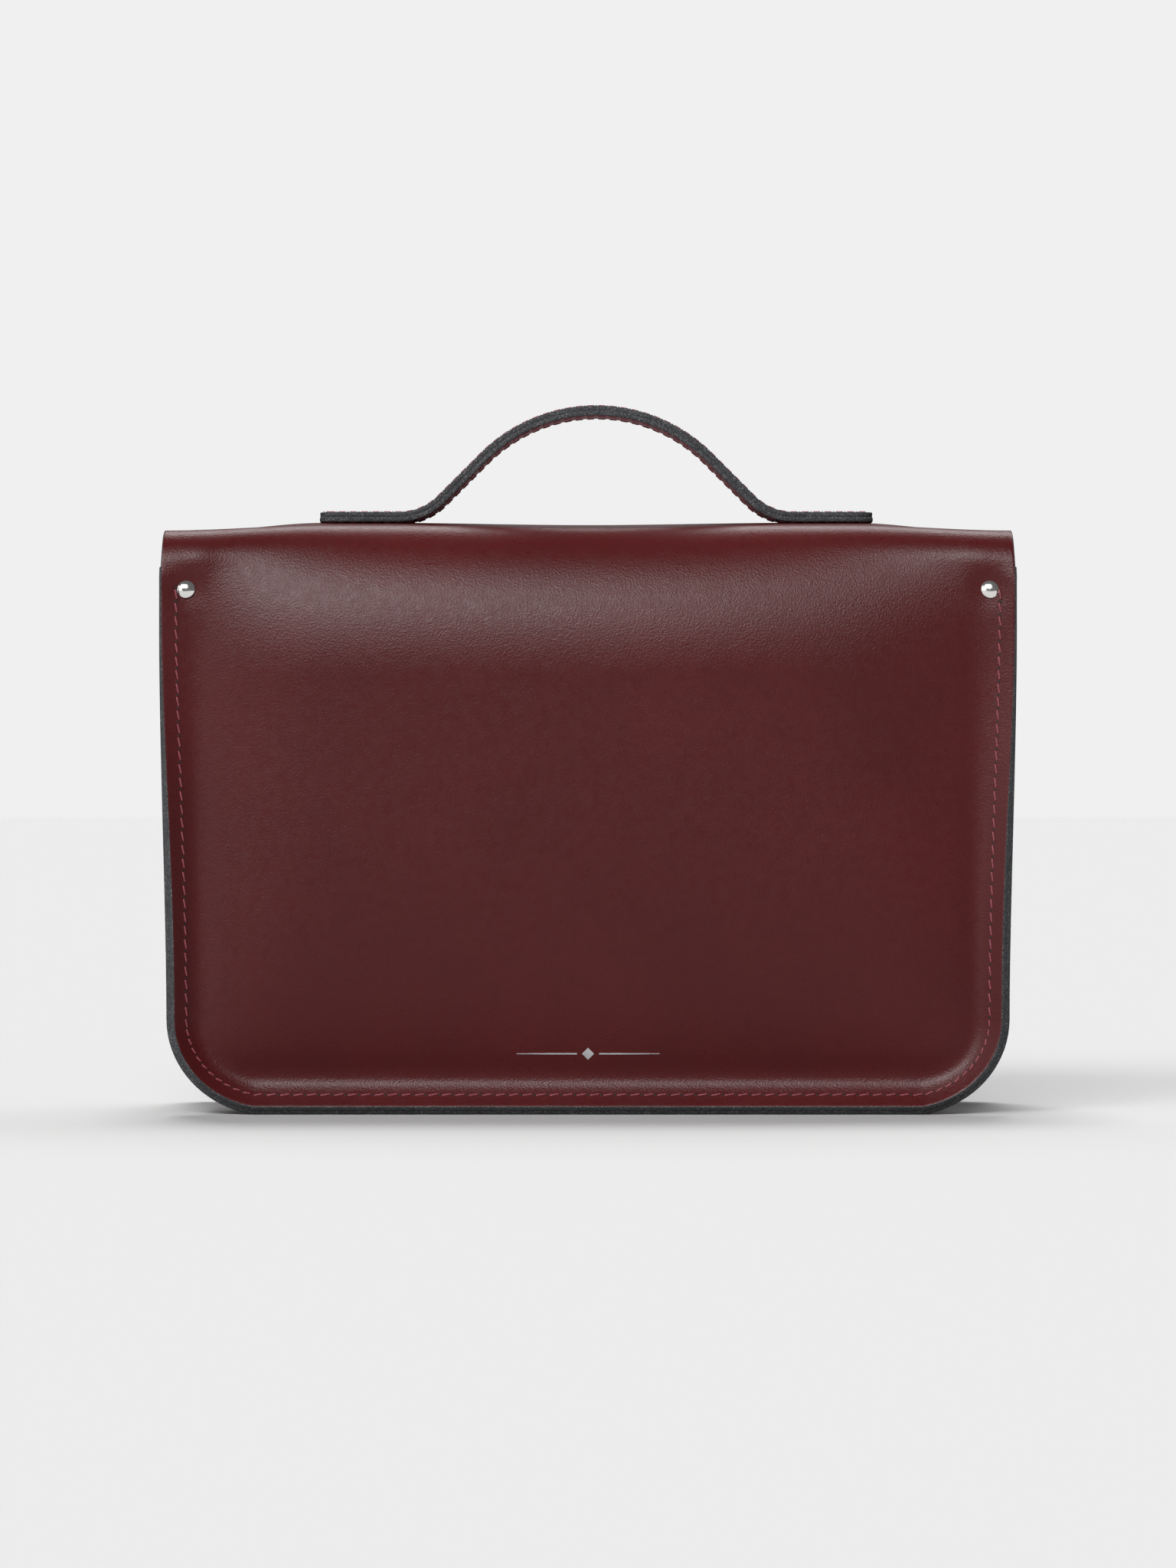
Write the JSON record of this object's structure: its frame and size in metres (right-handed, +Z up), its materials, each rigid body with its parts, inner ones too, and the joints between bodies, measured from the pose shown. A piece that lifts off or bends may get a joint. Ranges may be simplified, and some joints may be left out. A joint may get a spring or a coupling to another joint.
{
  "type": "satchel bag",
  "caption": "Rigid leather satchel with a stitched gusset, fold-over flap, top handle, buckled closure straps and side D-rings.",
  "frame": {"origin": "on the ground, at the middle of the footprint, buckles included; the middle of the seams is 6.5 mm behind it", "axes": "+X to the bag's width, -Y towards the flap and buckles, +Y towards the plain back, +Z up"},
  "size_m": [0.325, 0.1176, 0.269],
  "materials": {
    "burgundy_leather": "satin full-grain, black cut edges",
    "handle_lining": "matt suede side",
    "polished_nickel": "polished nickel plate",
    "snap_steel": "plated steel",
    "cut_edge": "black dyed cut edge",
    "thread": "waxed thread",
    "silver_foil": "stamped foil"
  },
  "bodies": {
    "bag_body": {"back_panel": "burgundy_leather", "flap_rear_fold": "burgundy_leather", "gusset": "burgundy_leather", "front_panel": "burgundy_leather", "pocket_panel": "burgundy_leather", "back_corner_rivets": "polished_nickel", "front_corner_rivets": "polished_nickel", "ring_tab_rivets": "polished_nickel", "d_ring_tab_left": "burgundy_leather", "d_ring_tab_right": "burgundy_leather", "magnet_plate_left": "snap_steel", "magnet_plate_right": "snap_steel"},
    "flap_lid": {"flap_top": "burgundy_leather", "flap_front_fold": "burgundy_leather", "handle_outer": "burgundy_leather", "handle_lining": "handle_lining"},
    "flap_drop": {"flap_front": "burgundy_leather", "strap_rivets": "polished_nickel", "closure_strap_left": "burgundy_leather", "closure_strap_right": "burgundy_leather", "buckle_tab_left": "burgundy_leather", "buckle_tab_right": "burgundy_leather", "keeper_left": "burgundy_leather", "keeper_right": "burgundy_leather", "magnet_left": "snap_steel", "magnet_right": "snap_steel"},
    "buckle_left": {"buckle_frame_left": "polished_nickel"},
    "prong_left": {"buckle_prong_left": "polished_nickel"},
    "ring_left": {"d_ring_left": "polished_nickel"},
    "buckle_right": {"buckle_frame_right": "polished_nickel"},
    "prong_right": {"buckle_prong_right": "polished_nickel"},
    "ring_right": {"d_ring_right": "polished_nickel"}
  },
  "joints": [
    {"name": "flap_lid_hinge", "type": "hinge", "parent": "bag_body", "child": "flap_lid", "pos_m": [0, 0.04622, 0.21872], "axis": [-1, 0, 0], "range_deg": [0, 180], "deforming": ["flap_rear_fold"]},
    {"name": "flap_drop_hinge", "type": "hinge", "parent": "flap_lid", "child": "flap_drop", "pos_m": [0, -0.04322, 0.21872], "axis": [-1, 0, 0], "range_deg": [0, 90], "deforming": ["flap_front_fold"]},
    {"name": "buckle_left_tip", "type": "hinge", "parent": "flap_drop", "child": "buckle_left", "pos_m": [-0.088, -0.049, 0.066], "axis": [1, 0, 0], "range_deg": [0, 12]},
    {"name": "prong_left_lift", "type": "hinge", "parent": "buckle_left", "child": "prong_left", "pos_m": [-0.088, -0.049, 0.066], "axis": [1, 0, 0], "range_deg": [0, 15]},
    {"name": "d_ring_left_swing", "type": "hinge", "parent": "bag_body", "child": "ring_left", "pos_m": [-0.15266, 0.0065, 0.192], "axis": [0, 1, 0], "range_deg": [0, 160]},
    {"name": "buckle_right_tip", "type": "hinge", "parent": "flap_drop", "child": "buckle_right", "pos_m": [0.088, -0.049, 0.066], "axis": [1, 0, 0], "range_deg": [0, 12]},
    {"name": "prong_right_lift", "type": "hinge", "parent": "buckle_right", "child": "prong_right", "pos_m": [0.088, -0.049, 0.066], "axis": [1, 0, 0], "range_deg": [0, 15]},
    {"name": "d_ring_right_swing", "type": "hinge", "parent": "bag_body", "child": "ring_right", "pos_m": [0.15266, 0.0065, 0.192], "axis": [0, -1, 0], "range_deg": [0, 160]}
  ]
}
